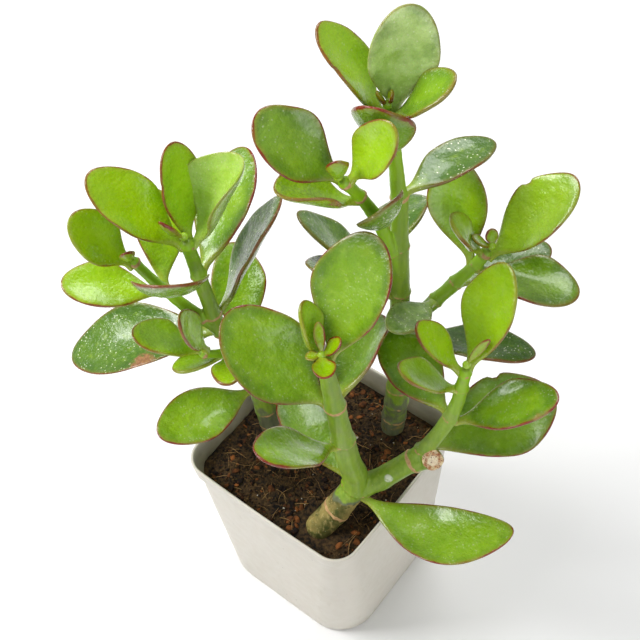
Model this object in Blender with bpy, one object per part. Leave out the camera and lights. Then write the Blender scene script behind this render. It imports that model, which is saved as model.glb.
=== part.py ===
"""Potted jade plant: three rooted stems with thick oval leaves, in a square nursery pot of soil.

The origin is the centre of the pot's underside, +Z is up, and the pot's sides face the X and Y axes.
Dimensions in the tables are millimetres and degrees; MM turns them into Blender's metres.
"""

import math

import bmesh
import bpy
from mathutils import Matrix, Vector

MM = 0.001
GAP = 0.35            # clearance between neighbouring pieces
WELD = 0.00001        # merge distance in metres, for the caps of a tube

# Pot
POT_HEIGHT = 112.0
POT_TOP = 105.0       # side of the rim
POT_BASE = 95.0       # side of the base
TOP_CORNER = 12.0     # corner radius at the rim
BASE_CORNER = 22.0    # corner radius at the base
COLLAR_DEPTH = 8.0    # height of the band below the rim
COLLAR_STEP = 1.8     # how far the band stands out from the wall
LIP_DROP = 0.6        # height of the lip's rounded outer edge, and the wall's extra thickness behind the band
LIP_INSET = 0.4
WALL = 1.6
WALL_BOW = 0.8        # how far the wall bows out under the band; it bows BELLY_BOW at half height
BELLY_BOW = 0.3
FOOT_HEIGHT = 1.5     # height and inset of the rounded edge around the base
FLOOR = 2.4
FLOOR_HALF = 36.0     # half the side of the flat part of the base
FLOOR_CORNER = 18.0
RIM_BOW = 1.0         # how far the rim bows out at the middle of a side
CORNER_LIFT = 1.2     # the base's corners stand clear of the table
CORNER_STEPS = 4      # points in one rounded corner
SIDE_STEPS = 3        # points along one side
DRAIN_HOLE = 5.0      # diameter
DRAIN_OFFSET = 27.0   # from the centre, along X and Y
CUTTER_SIDES = 16
CUT_PAST = 10.0       # how far a cutter runs past what it cuts

# Soil
SOIL_EDGE = 98.5      # height at the wall
SOIL_CROWN = 101.0    # height at the middle
SOIL_CLEARANCE = 0.45 # between the root ball and the pot's wall
SHOULDER_HALF = 34.0  # half the side of the soil's shoulder, and of its flat crown
CROWN_HALF = 14.0
ROOT_DEPTH = 84.0     # height of the stems' buried ends
SOCKET_SLACK = 3.0    # room around a stem where it leaves the soil, because it leans there

# Leaves
LEAF_FACETS = (12, 8) # around a leaf and along it
TINY_FACETS = (8, 6)  # the same for a tiny leaf of a growing tip
WIDEST = 1.25         # above 1, a leaf is widest beyond its middle
LEAF_THICKNESS = 3.2
LEAF_STANDOFF = 0.75  # from the stem's skin to a leaf's foot
TINY_THICKNESS = 2.2
TINY_FORM = (-10, 0.2, 0.0)  # bend, cup and bow of a tiny leaf
HEART_RADIUS = 1.6    # the small ball that a growing tip's leaves share
ROUTE_STEPS = 2       # stretches between two nodes of a stem

# Where each stem leaves the soil: x and y.
FEET = {"left": (-30, -5), "back": (20, 35), "front": (25, -35)}
SOIL_LEVEL = 100.0

# Each branch grows in internodes from a node of its parent, or from the foot. It thins evenly from
# its first radius to its last. An internode is its length, its lean from upright and its heading
# (degrees from +X towards +Y).
BRANCHES = {
    "left": {
        "main": ("foot", 0, 6.2, 3.0, [(45, 5, -135), (15, 5, -135), (15, 10, -135), (20, 25, -135),
                                       (12, 10, -135), (28, 5, -135), (20, 5, -135)]),
        "side": ("main", 4, 3.6, 2.0, [(20, 35, -135), (20, 30, -135), (16, 25, -135), (6, 20, -135)]),
        "low": ("main", 3, 2.5, 2.0, [(12, 60, -105), (14, 50, -105)]),
    },
    "back": {
        "main": ("foot", 0, 6.6, 2.4, [(50, 5, 45), (32, 0, 0), (30, 0, 0), (30, 0, 0), (30, 0, 0),
                                       (28, 5, -135), (16, 5, -135)]),
        "left": ("main", 3, 3.4, 2.4, [(32, 10, -105), (24, 15, -105), (20, 25, -105), (14, 30, -105)]),
        "right": ("main", 2, 4.2, 2.6, [(14, 40, 45), (12, 40, 45), (14, 40, 45), (14, 40, 45), (8, 30, 45)]),
    },
    "front": {
        "main": ("foot", 0, 7.4, 3.4, [(32, 40, 60), (25, 5, -135), (20, 5, -135), (28, 5, -135),
                                       (18, 5, -135), (14, 5, -135)]),
        "stub": ("main", 1, 6.0, 5.2, [(14, 70, 45), (18, 50, 45), (10, 60, 30),
                                       (6, 45, -25)]),
        "right": ("stub", 2, 4.6, 2.6, [(14, 35, 45), (26, 25, 45), (22, 10, 45), (12, 5, 45)]),
    },
}

# Leaves grow in opposite pairs, and each pair is turned a quarter from the one below, so that a
# leaf points near one of the pot's corners. Someone who faces the corner at -45 degrees names them.
QUARTERS = {"right": 45, "rear": 135, "left": -135, "fore": -45}

# The forms that a leaf takes as it ages: width as a share of length, bend (tip down), cup, and how
# far its middle bows to the right of someone who looks along it from above, as a share of length.
FORMS = {
    "slim": (0.44, 10, 0.1, 0.0),
    "oval": (0.54, 0, 0.1, 0.0),
    "broad": (0.64, 5, 0.1, 0.0),
    "round": (0.80, -10, 0.2, 0.0),
    "sagging": (0.40, -45, 0.1, 0.1),
    "folded": (0.62, -10, 0.6, 0.0),
    "young": (0.54, -10, 0.2, 0.0),
}

# Each leaf: its branch, node, quarter and form, then its length, its rise above level, its sway
# from the quarter (anticlockwise from above) and its twist.
LEAVES = {
    "left": [
        ("main", 1, "left", "oval", 52, 10, 30, -15),
        ("main", 4, "left", "slim", 82, -20, -15, -15),
        ("main", 3, "rear", "oval", 50, 30, 0, 0),
        ("main", 5, "right", "slim", 62, 50, 30, -30),
        ("main", 6, "rear", "oval", 58, 30, -30, -15),
        ("main", 7, "right", "folded", 46, 55, 15, 0),
        ("main", 7, "left", "oval", 50, 50, -15, -15),
        ("main", 7, "rear", "young", 44, 70, 0, 45),
        ("side", 4, "left", "broad", 36, 60, 0, -30),
        ("side", 2, "left", "oval", 42, 20, 0, -15),
        ("side", 2, "rear", "young", 44, 30, 0, 30),
        ("side", 2, "fore", "round", 42, 50, 15, -15),
        ("low", 2, "left", "young", 32, 75, 30, -45),
        ("low", 2, "left", "broad", 34, 35, 0, 0),
        ("low", 1, "left", "broad", 24, 5, 15, 15),
        ("low", 1, "fore", "broad", 24, 20, 0, 0),
    ],
    "back": [
        ("main", 2, "right", "slim", 60, 10, -30, -15),
        ("main", 3, "left", "slim", 60, 50, -15, 15),
        ("main", 3, "left", "oval", 52, 45, 15, 15),
        ("main", 4, "rear", "broad", 38, -15, -15, -15),
        ("main", 5, "right", "slim", 48, 0, 30, 0),
        ("main", 7, "rear", "broad", 42, 75, -45, 45),
        ("main", 6, "fore", "round", 32, 70, -45, 15),
        ("main", 7, "right", "broad", 32, 45, -30, 15),
        ("main", 7, "left", "oval", 42, 55, -30, 0),
        ("left", 2, "fore", "round", 28, 60, 0, 30),
        ("left", 4, "left", "broad", 42, 45, -15, -30),
        ("left", 4, "right", "young", 36, 60, -30, 60),
        ("left", 3, "left", "folded", 36, 30, 15, 0),
        ("right", 3, "right", "oval", 46, 5, 15, 0),
        ("right", 2, "left", "oval", 34, 20, 45, 0),
        ("right", 4, "right", "broad", 44, 0, -30, 0),
        ("right", 4, "left", "oval", 48, 60, -75, -30),
        ("right", 5, "right", "oval", 52, 50, 0, 15),
        ("right", 5, "left", "young", 28, 60, 0, -15),
    ],
    "front": [
        ("main", 1, "rear", "oval", 54, 10, 30, 15),
        ("main", 1, "right", "sagging", 76, 10, -30, 0),
        ("main", 3, "left", "oval", 50, 40, 30, 0),
        ("main", 4, "left", "broad", 60, 45, -30, -15),
        ("main", 4, "rear", "broad", 46, 5, -30, -30),
        ("main", 6, "rear", "broad", 56, 55, -45, 0),
        ("main", 6, "rear", "young", 28, 70, 30, 30),
        ("right", 1, "right", "broad", 64, 5, 15, 15),
        ("right", 2, "right", "oval", 48, 30, -15, 0),
        ("right", 2, "left", "broad", 45, 20, -60, 0),
        ("right", 3, "left", "young", 32, 40, 0, 0),
        ("right", 4, "rear", "oval", 50, 60, -45, -15),
        ("right", 4, "left", "young", 30, 50, -30, 0),
    ],
}

# The growing tip of each shoot: its branch and its tiny leaves, which are joined at the base.
# Each tiny leaf: length, width, quarter, rise, twist.
TIPS = {
    "left_top_tip": ("left", "main", [(14, 5, "left", 50, 60)]),
    "left_side_tip": ("left", "side", [(16, 7, "fore", 50, 15)]),
    "back_top_tip": ("back", "main", [(7, 4, "right", 75, 0), (8, 4, "left", 60, 0)]),
    "back_left_tip": ("back", "left", [(13, 9, "fore", 70, 0)]),
    "back_right_tip": ("back", "right", [(9, 6, "rear", 75, 0), (12, 7, "left", 40, 0)]),
    "front_centre_tip": ("front", "main", [(16, 5, "rear", 70, 0), (12, 8, "right", 45, 0),
                                           (7, 5, "left", 0, 0), (14, 10, "fore", 10, 0)]),
    "front_right_tip": ("front", "right", [(18, 4, "right", 60, 75)]),
}

COLOURS = {
    "pot": (0.63, 0.61, 0.56),
    "soil": (0.06, 0.035, 0.02),
    "bark": (0.22, 0.24, 0.08),
    "leaf": (0.16, 0.36, 0.04),
}


def collection(name):
    """A collection in the scene, made once."""
    group = bpy.data.collections.new(name)
    bpy.context.scene.collection.children.link(group)
    return group


def material(name, colour, roughness):
    """A plain Principled material."""
    made = bpy.data.materials.new(name)
    made.use_nodes = True
    shader = made.node_tree.nodes["Principled BSDF"]
    shader.inputs["Base Color"].default_value = (*colour, 1.0)
    shader.inputs["Roughness"].default_value = roughness
    shader.inputs["Metallic"].default_value = 0.0
    made.diffuse_color = (*colour, 1.0)
    return made


def piece(name, mesh, group, finish):
    """An object of one mesh, in a collection, with its material."""
    made = bpy.data.objects.new(name, mesh)
    made.data.materials.clear()
    made.data.materials.append(finish)
    group.objects.link(made)
    return made


def as_helper(item, helpers):
    """Moves an object that only cuts or joins another one to the helpers' collection."""
    for group in list(item.users_collection):
        group.objects.unlink(item)
    helpers.objects.link(item)
    item.hide_render = True
    item.display_type = "WIRE"


def combine(base, other, operation, helpers):
    """A Boolean of two objects, kept as a modifier on the first."""
    as_helper(other, helpers)
    step = base.modifiers.new(other.name, "BOOLEAN")
    step.operation = operation
    step.solver = "EXACT"
    step.object = other


def drill(name, x, y, low, high, radius):
    """An upright cylinder that cuts a hole from one height to another."""
    bpy.ops.mesh.primitive_cylinder_add(vertices=CUTTER_SIDES, radius=radius * MM,
                                        depth=(high - low) * MM,
                                        location=(x * MM, y * MM, (low + high) / 2 * MM))
    bpy.context.object.name = name
    return bpy.context.object


def square_ring(half, corner, bow, height, lift=0.0):
    """Points of a rounded square, anticlockwise from above, whose sides bow out and corners lift."""
    points = []
    straight = half - corner
    for side in range(4):
        turn = Matrix.Rotation(side * math.pi / 2, 3, "Z")
        for step in range(SIDE_STEPS):
            along = -straight + 2 * straight * step / SIDE_STEPS
            out = half + bow * (1 - (along / half) ** 2)
            points.append(turn @ Vector((along, -out, height)))
        for step in range(CORNER_STEPS):
            angle = -math.pi / 2 + math.pi / 2 * step / CORNER_STEPS
            raised = lift * math.sin(math.pi * step / CORNER_STEPS)
            edge = bow * (1 - (straight / half) ** 2) * (1 - math.sin(math.pi * step / CORNER_STEPS))
            reach = Vector((math.cos(angle), math.sin(angle), 0)) * (corner + edge)
            points.append(turn @ (Vector((straight, -straight, height + raised)) + reach))
    return [point * MM for point in points]


def face_out(shape):
    """Turns the faces of a closed bmesh outwards."""
    bmesh.ops.recalc_face_normals(shape, faces=shape.faces)
    if shape.calc_volume(signed=True) < 0:
        bmesh.ops.reverse_faces(shape, faces=shape.faces)


def loft(name, rings):
    """A closed mesh through rings of equal length, with a flat face over the first and the last."""
    mesh = bpy.data.meshes.new(name)
    shape = bmesh.new()
    loops = [[shape.verts.new(point) for point in ring] for ring in rings]
    count = len(loops[0])
    for lower, upper in zip(loops, loops[1:]):
        for i in range(count):
            j = (i + 1) % count
            shape.faces.new((lower[i], lower[j], upper[j], upper[i]))
    shape.faces.new(list(reversed(loops[0])))
    shape.faces.new(loops[-1])
    face_out(shape)
    shape.to_mesh(mesh)
    shape.free()
    return mesh


def wall_half(height, inset):
    """Half the pot's side below the collar, at a height, drawn in by an inset."""
    share = height / (POT_HEIGHT - COLLAR_DEPTH)
    top_half = POT_TOP / 2 - COLLAR_STEP
    return POT_BASE / 2 + (top_half - POT_BASE / 2) * share - inset


def wall_corner(height, inset):
    """The wall's corner radius at a height, drawn in by an inset."""
    share = height / POT_HEIGHT
    return BASE_CORNER + (TOP_CORNER - BASE_CORNER) * share - inset


def make_pot(parts, helpers, finish):
    """The pot: tapered square walls, a collar under a thin lip, a lifted base and drain holes."""
    collar = POT_HEIGHT - COLLAR_DEPTH
    rim = POT_TOP / 2

    def wall(height, inset=0.0, bow=0.0, lift=0.0):
        return square_ring(wall_half(height, inset), wall_corner(height, inset), bow, height, lift)

    rings = [
        square_ring(FLOOR_HALF, FLOOR_CORNER, 0, 0),
        square_ring(POT_BASE / 2 - FOOT_HEIGHT, BASE_CORNER - FOOT_HEIGHT, 0, 0, CORNER_LIFT),
        wall(FOOT_HEIGHT, lift=CORNER_LIFT),
        wall(collar / 2, bow=BELLY_BOW),
        wall(collar - 1.0, bow=WALL_BOW),
        square_ring(rim - 0.5, TOP_CORNER, RIM_BOW, collar),
        square_ring(rim, TOP_CORNER, RIM_BOW, POT_HEIGHT - LIP_DROP),
        square_ring(rim - LIP_INSET, TOP_CORNER - LIP_INSET, RIM_BOW, POT_HEIGHT),
        square_ring(rim - WALL, TOP_CORNER - WALL, RIM_BOW, POT_HEIGHT),
        square_ring(rim - WALL - LIP_DROP, TOP_CORNER - WALL, RIM_BOW, collar),
        wall(collar - WALL, inset=WALL, bow=WALL_BOW),
        wall(collar / 2, inset=WALL, bow=BELLY_BOW),
        wall(FLOOR + 2.0, inset=WALL, lift=CORNER_LIFT),
        square_ring(FLOOR_HALF, FLOOR_CORNER, 0, FLOOR),
    ]
    pot = piece("pot", loft("pot", rings), parts, finish)
    for x in (-DRAIN_OFFSET, DRAIN_OFFSET):
        for y in (-DRAIN_OFFSET, DRAIN_OFFSET):
            cutter = drill("drain_cutter", x, y, -CUT_PAST, CUT_PAST, DRAIN_HOLE / 2)
            combine(pot, cutter, "DIFFERENCE", helpers)
    return pot


def make_soil(parts, finish):
    """The root ball: a block that fills the pot's inside and swells a little at the middle."""
    def layer(height):
        inset = WALL + SOIL_CLEARANCE
        return square_ring(wall_half(height, inset), wall_corner(height, inset), 0, height)

    shoulder = SOIL_EDGE + (SOIL_CROWN - SOIL_EDGE) * 0.75
    rings = [
        square_ring(FLOOR_HALF - 1.0, FLOOR_CORNER, 0, FLOOR + GAP),
        layer(FLOOR + 2.8 + CORNER_LIFT),
        layer(SOIL_EDGE / 2),
        layer(SOIL_EDGE),
        square_ring(SHOULDER_HALF, SHOULDER_HALF / 2, 0, shoulder),
        square_ring(CROWN_HALF, CROWN_HALF / 2, 0, SOIL_CROWN),
    ]
    return piece("soil", loft("soil", rings), parts, finish)


def grow(start, first_radius, last_radius, internodes):
    """The nodes (x, y, z, radius) of a branch that grows from a start, internode by internode."""
    nodes = [Vector((*start, first_radius))]
    for number, (length, lean, heading) in enumerate(internodes, start=1):
        tilt, turn = math.radians(lean), math.radians(heading)
        rise = Vector((math.sin(tilt) * math.cos(turn), math.sin(tilt) * math.sin(turn), math.cos(tilt)))
        radius = first_radius + (last_radius - first_radius) * number / len(internodes)
        nodes.append(Vector((*(nodes[-1].xyz + rise * length), radius)))
    return nodes


def grow_plant(plant):
    """The smoothed routes of a plant's branches, parents first."""
    nodes, routes = {}, {}
    for branch, (parent, node, first_radius, last_radius, internodes) in BRANCHES[plant].items():
        start = (*FEET[plant], SOIL_LEVEL) if parent == "foot" else nodes[parent][node].xyz
        nodes[branch] = grow(start, first_radius, last_radius, internodes)
        routes[branch] = smooth_route(nodes[branch], ROUTE_STEPS)
    return routes


def smooth_route(points, steps):
    """A route through the given (x, y, z, radius) points, rounded by a Catmull-Rom curve."""
    padded = [points[0]] + list(points) + [points[-1]]
    route = []
    for i in range(1, len(padded) - 2):
        before, start, end, after = (Vector(padded[k]) for k in (i - 1, i, i + 1, i + 2))
        for step in range(steps):
            t = step / steps
            route.append(0.5 * (2 * start + (end - before) * t
                                + (2 * before - 5 * start + 4 * end - after) * t ** 2
                                + (3 * start - before - 3 * end + after) * t ** 3))
    route.append(Vector(padded[-2]))
    return route


def tube(name, route, group, finish):
    """A closed round stem along a route of (x, y, z, radius), as a mesh."""
    curve = bpy.data.curves.new(name, "CURVE")
    curve.dimensions = "3D"
    curve.bevel_depth = MM
    curve.bevel_resolution = 3
    curve.use_fill_caps = True
    line = curve.splines.new("POLY")
    line.points.add(len(route) - 1)
    for point, spot in zip(line.points, route):
        point.co = (spot[0] * MM, spot[1] * MM, spot[2] * MM, 1.0)
        point.radius = spot[3]
    holder = bpy.data.objects.new(name + "_curve", curve)
    bpy.context.scene.collection.objects.link(holder)
    bpy.context.view_layer.update()
    evaluated = holder.evaluated_get(bpy.context.evaluated_depsgraph_get())
    mesh = bpy.data.meshes.new_from_object(evaluated)
    shape = bmesh.new()
    shape.from_mesh(mesh)
    bmesh.ops.remove_doubles(shape, verts=shape.verts, dist=WELD)
    face_out(shape)
    shape.to_mesh(mesh)
    shape.free()
    bpy.data.objects.remove(holder)
    return piece(name, mesh, group, finish)


def rounded_end(route):
    """A route whose last point is drawn out into a small dome."""
    tip = route[-1]
    axis = (tip.xyz - route[-2].xyz).normalized()
    radius = tip[3]
    ended = list(route)
    for reach, share in ((0.5, 0.87), (0.85, 0.5)):
        spot = tip.xyz + axis * radius * reach
        ended.append(Vector((*spot, radius * share)))
    return ended


def at_node(route, node):
    """The point, direction and radius of a route at one of its nodes."""
    i = node * ROUTE_STEPS
    before = route[i - 1]
    return route[i].xyz, (route[i].xyz - before.xyz).normalized(), route[i][3]


def leaf_axes(heading, rise, twist):
    """A leaf's unit directions: along it, across it, and up from its face."""
    h, r, t = (math.radians(angle) for angle in (heading, rise, twist))
    along = Vector((math.cos(h) * math.cos(r), math.sin(h) * math.cos(r), math.sin(r)))
    level = Vector((-math.sin(h), math.cos(h), 0))
    over = along.cross(level)
    across = level * math.cos(t) + over * math.sin(t)
    return along, across, along.cross(across)


def leaf_mesh(name, base, length, width, thickness, axes, bend, cup, bow, facets):
    """An oval leaf: a sphere drawn out from its base, flattened, narrowed to its foot and curved."""
    along, across, up = axes
    around, lengthwise = facets
    shape = bmesh.new()
    bmesh.ops.create_uvsphere(shape, u_segments=around, v_segments=lengthwise, radius=1.0)
    turn = math.radians(bend)
    for vert in shape.verts:
        s = (1 - vert.co.z) / 2
        angle = math.atan2(vert.co.y, vert.co.x)
        ring = math.hypot(vert.co.x, vert.co.y)
        swell = math.sin(math.pi * min(s, 1.0) ** WIDEST) if ring > 1e-6 else 0.0
        half_width = width / 2 * swell ** (0.85 - 0.35 * s)
        half_thick = thickness / 2 * ring ** 0.6 if ring > 1e-6 else 0.0
        side = half_width * math.cos(angle)
        lift = half_thick * math.sin(angle) + cup * side * side / (width / 2)
        swing = turn * (s - 0.5)
        reach = length * (s if abs(turn) < 1e-6 else
                          (math.sin(swing) + math.sin(turn / 2)) / turn)
        aside = side - 4 * bow * length * s * (1 - s)
        sag = 0.0 if abs(turn) < 1e-6 else length * (math.cos(swing) - math.cos(turn / 2)) / turn
        vert.co = (base + along * (reach + lift * math.sin(swing)) + across * aside
                   + up * (sag + lift * math.cos(swing))) * MM
    face_out(shape)
    mesh = bpy.data.meshes.new(name)
    shape.to_mesh(mesh)
    shape.free()
    mesh.shade_smooth()
    return mesh


def make_leaves(plant, routes, parts, finish):
    """A plant's leaves, numbered along each branch. Their feet stand off the stem by the gap."""
    count = {}
    for branch, node, quarter, form, length, rise, sway, twist in LEAVES[plant]:
        count[branch] = count.get(branch, 0) + 1
        name = f"{plant}_{branch}_leaf_{count[branch]}"
        spot, stem_axis, radius = at_node(routes[branch], node)
        axes = leaf_axes(QUARTERS[quarter] + sway, rise, twist)
        outward = axes[0] - stem_axis * axes[0].dot(stem_axis)
        base = spot + outward.normalized() * (radius + LEAF_STANDOFF)
        width_share, bend, cup, bow = FORMS[form]
        mesh = leaf_mesh(name, base, length, length * width_share, LEAF_THICKNESS, axes, bend, cup,
                         bow, LEAF_FACETS)
        piece(name, mesh, parts, finish)


def make_tip(name, route, tiny_leaves, parts, helpers, finish):
    """A shoot's growing tip: tiny leaves that grow from one small heart above the stem's end."""
    end, axis, radius = at_node(route, len(route) // ROUTE_STEPS)
    heart_centre = end + axis * (radius + HEART_RADIUS + GAP)
    shape = bmesh.new()
    bmesh.ops.create_icosphere(shape, subdivisions=2, radius=HEART_RADIUS * MM)
    bmesh.ops.translate(shape, verts=shape.verts, vec=heart_centre * MM)
    mesh = bpy.data.meshes.new(name)
    shape.to_mesh(mesh)
    shape.free()
    tip = piece(name, mesh, parts, finish)
    for number, (length, width, quarter, rise, twist) in enumerate(tiny_leaves):
        axes = leaf_axes(QUARTERS[quarter], rise, twist)
        tiny_name = f"{name}_{number + 1}"
        foot = heart_centre - axes[0] * HEART_RADIUS / 4
        tiny = leaf_mesh(tiny_name, foot, length, width, TINY_THICKNESS, axes, *TINY_FORM, TINY_FACETS)
        combine(tip, piece(tiny_name, tiny, parts, finish), "UNION", helpers)
    return tip


def build():
    for item in list(bpy.data.objects):
        bpy.data.objects.remove(item)
    parts = collection("potted_jade_plant")
    helpers = collection("cutters")
    pot_finish = material("pot_plastic", COLOURS["pot"], 0.45)
    soil_finish = material("soil_mix", COLOURS["soil"], 0.95)
    bark_finish = material("stem_bark", COLOURS["bark"], 0.7)
    leaf_finish = material("leaf_skin", COLOURS["leaf"], 0.35)

    make_pot(parts, helpers, pot_finish)
    soil = make_soil(parts, soil_finish)
    for plant in BRANCHES:
        routes = grow_plant(plant)
        x, y = FEET[plant]
        radius = routes["main"][0][3]
        root = [Vector((x, y, ROOT_DEPTH, radius)), Vector((x, y, SOIL_LEVEL - 4.0, radius))]
        stem = tube(f"{plant}_stem", root + rounded_end(routes["main"]), parts, bark_finish)
        for branch, route in routes.items():
            if branch != "main":
                shoot = route if branch == "stub" else rounded_end(route)
                arm = tube(f"{plant}_{branch}_branch", shoot, parts, bark_finish)
                combine(stem, arm, "UNION", helpers)
        socket = drill(f"{plant}_socket", x, y, ROOT_DEPTH - GAP, SOIL_CROWN + CUT_PAST,
                       radius + SOCKET_SLACK)
        combine(soil, socket, "DIFFERENCE", helpers)
        make_leaves(plant, routes, parts, leaf_finish)
        for name, (owner, branch, tiny_leaves) in TIPS.items():
            if owner == plant:
                make_tip(name, routes[branch], tiny_leaves, parts, helpers, leaf_finish)


build()
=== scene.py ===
import math
import random

import bmesh
import bpy
import numpy as np
from mathutils import Matrix, Vector, noise
from mathutils.bvhtree import BVHTree


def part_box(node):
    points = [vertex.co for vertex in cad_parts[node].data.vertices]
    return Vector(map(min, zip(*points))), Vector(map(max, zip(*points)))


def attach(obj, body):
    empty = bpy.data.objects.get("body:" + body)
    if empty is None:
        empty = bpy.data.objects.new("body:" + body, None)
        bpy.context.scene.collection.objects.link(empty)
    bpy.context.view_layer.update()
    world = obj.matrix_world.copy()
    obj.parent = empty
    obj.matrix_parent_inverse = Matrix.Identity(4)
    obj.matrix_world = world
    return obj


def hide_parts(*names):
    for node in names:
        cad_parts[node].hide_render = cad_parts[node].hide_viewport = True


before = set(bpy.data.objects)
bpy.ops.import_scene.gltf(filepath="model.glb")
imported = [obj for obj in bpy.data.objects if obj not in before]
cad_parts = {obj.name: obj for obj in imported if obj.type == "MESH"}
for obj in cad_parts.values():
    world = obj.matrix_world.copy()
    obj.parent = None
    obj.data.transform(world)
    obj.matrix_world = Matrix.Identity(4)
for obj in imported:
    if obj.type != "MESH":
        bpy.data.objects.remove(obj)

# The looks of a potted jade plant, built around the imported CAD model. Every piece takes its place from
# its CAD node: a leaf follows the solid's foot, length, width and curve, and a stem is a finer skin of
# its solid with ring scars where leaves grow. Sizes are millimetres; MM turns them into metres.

bpy.context.view_layer.update()
MM = 0.001
DICE = random.Random(11)

# The greens, reds and browns, from 0 to 255. A pair such as "old" and "old light" is mottled.
PALETTE = {
    "young": (136, 184, 0), "young light": (176, 216, 14),
    "grown": (98, 146, 0), "grown light": (140, 178, 0),
    "old": (52, 92, 4), "old light": (88, 124, 20),
    "leaf fleck": (176, 208, 60), "leaf edge shade": (56, 96, 6), "leaf foot": (168, 198, 70),
    "underside": (126, 162, 58), "bloom_and_sheen": (200, 228, 140), "leaf dot": (236, 242, 208),
    "warm edge": (150, 128, 40), "red": (98, 22, 4), "red light": (148, 58, 14),
    "scab": (96, 52, 28), "scab light": (196, 146, 96),
    "stem": (92, 132, 18), "stem light": (156, 182, 62),
    "thin stem": (146, 192, 30), "stem cloud": (134, 144, 84), "stem dot": (190, 200, 150),
    "wood": (84, 84, 34), "wood light": (150, 134, 74),
    "wood streak": (178, 158, 100), "moss": (64, 74, 22),
    "greyed": (80, 88, 62), "greyed light": (124, 128, 98),
    "scar": (140, 92, 48), "scar light": (226, 190, 136),
    "cut": (170, 108, 60), "cut light": (240, 220, 176),
    "cut core": (252, 240, 210), "cut red": (122, 40, 24), "dust": (212, 220, 196),
    "pot": (201, 195, 182), "pot light": (213, 208, 197),
    "scuff": (188, 182, 166), "pot foot": (168, 160, 140), "pot speck": (96, 82, 60),
    "inner shade": (104, 98, 76), "inner shade light": (160, 154, 134),
    "soil": (14, 9, 5), "soil light": (100, 76, 46), "soil dark": (30, 20, 12),
    "chip": (26, 16, 9), "chip light": (142, 86, 44),
    "fibre": (46, 30, 18), "fibre light": (190, 150, 98),
    "speck": (150, 140, 120), "speck light": (232, 228, 214),
}

# Leaves
WIDEST = 1.25          # above 1, a leaf is widest beyond its middle
LEAF_RINGS = 46
LEAF_AROUND = 40
LEAF_THICKNESS = 3.8
TINY_THICKNESS = 2.0
LEAF_FOOT = 2.5        # half the width of a leaf where it clasps the stem
LEAF_ROOT = 2.6        # how far its foot runs into the stem
FOOT_SHARE = 0.3       # the foot is at most this share of the half width
TINY_FOOT = 1.2
OUTLINE_FOOT = 0.85    # power of the outline's swelling: a lower one is blunter, as towards the tip
OUTLINE_BLUNTS = 0.35
FOOT_TAPER = 6         # how soon the foot's width dies away
TIP_ROUNDING = 9       # how late the thickness runs out at the tip
FOOT_THINNER = 0.14    # how much thinner a leaf is at its ends, as a share
EDGE_ROUNDING = 0.7    # below 1, the margin is blunt
TINY_ARCH = 0.35       # how far a tiny leaf's middle sags, as a share of its length, and its cup
TINY_CUP = 0.25
OUTLINE_WAVER = 0.08   # how much each side of the outline swells and narrows
NOTCH = (0.64, 0.035, 0.1)  # where a notch is along the leaf, its width and its depth
CUP = 0.24             # rise of the margins as a share of the half width, and how much it varies
CUP_VARIES = 0.16
SICKLE = 0.14          # how far a leaf curves sideways, as a share of its half width
RIPPLE = 1.5           # height of the gentle waves of the skin, and their length and width
RIPPLE_LONG = 15.0
RIPPLE_WIDE = 12.0
LOOK_VARIES = 0.08     # how much age and marks differ between leaves of one look
TINY_LOOK = (0.05, 0.0, 0.95, 0.0)
QUARTERS = {"right": 45, "rear": 135, "left": -135, "fore": -45}

# How leaves age: age, white dots, red margin and waxy bloom, each from 0 to 1.
LOOKS = {
    "young": (0.08, 0.15, 0.65, 0.05),
    "ripe": (0.28, 0.25, 0.80, 0.05),
    "grown": (0.50, 0.22, 0.85, 0.05),
    "old": (0.92, 0.92, 0.60, 0.10),
}
RIPE = {"left_main_leaf_1", "front_main_leaf_2", "front_main_leaf_3", "back_right_leaf_4"}
GROWN = {
    "left_main_leaf_3", "left_main_leaf_5", "back_left_leaf_2", "back_main_leaf_6",
    "back_main_leaf_7", "back_main_leaf_8", "back_right_leaf_3",
    "front_main_leaf_1", "front_main_leaf_4", "front_main_leaf_5",
    "front_main_leaf_6", "front_right_leaf_1", "front_right_leaf_2", "front_right_leaf_3",
}
OLD = {
    "left_main_leaf_2", "left_main_leaf_4", "left_side_leaf_4", "back_main_leaf_1", "back_main_leaf_2",
    "back_main_leaf_3", "back_main_leaf_4", "back_main_leaf_5", "back_left_leaf_1",
    "back_right_leaf_1", "back_right_leaf_2",
}

# Leaves with a painted sheen, a pale wash over their colour for the reflection of the lights beyond the
# bloom their age gives, and leaves with a notch in one side.
PAINTED_SHEEN = {"back_main_leaf_6": 1.0, "left_main_leaf_6": 0.5, "back_right_leaf_2": 0.5}
NOTCHED = {"left_main_leaf_8", "back_right_leaf_5", "front_right_leaf_1", "back_main_leaf_9"}
# Scabs: how far along the leaf, how wide the patch is (as a share of its length) and how strong.
SCABS = {"left_main_leaf_2": (0.42, 0.09, 1.0), "back_left_leaf_4": (0.35, 0.16, 0.62),
         "front_right_leaf_2": (0.85, 0.12, 0.55)}

NO_SCAB = (0.5, 0.1, 0.0)

# The tiny leaves of each growing tip: length, width, quarter, rise and twist, as the CAD has them.
TIPS = {
    "left_top_tip": [(14, 5, "left", 50, 60)],
    "left_side_tip": [(16, 7, "fore", 50, 15)],
    "back_top_tip": [(7, 4, "right", 75, 0), (8, 4, "left", 60, 0)],
    "back_left_tip": [(13, 9, "fore", 70, 0)],
    "back_right_tip": [(9, 6, "rear", 75, 0), (12, 7, "left", 40, 0)],
    "front_centre_tip": [(16, 5, "rear", 70, 0), (12, 8, "right", 45, 0), (7, 5, "left", 0, 0),
                         (14, 10, "fore", 10, 0)],
    "front_right_tip": [(18, 4, "right", 60, 75)],
}
HEART = 1.9            # radius of the ball that a tip's leaves share

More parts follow.
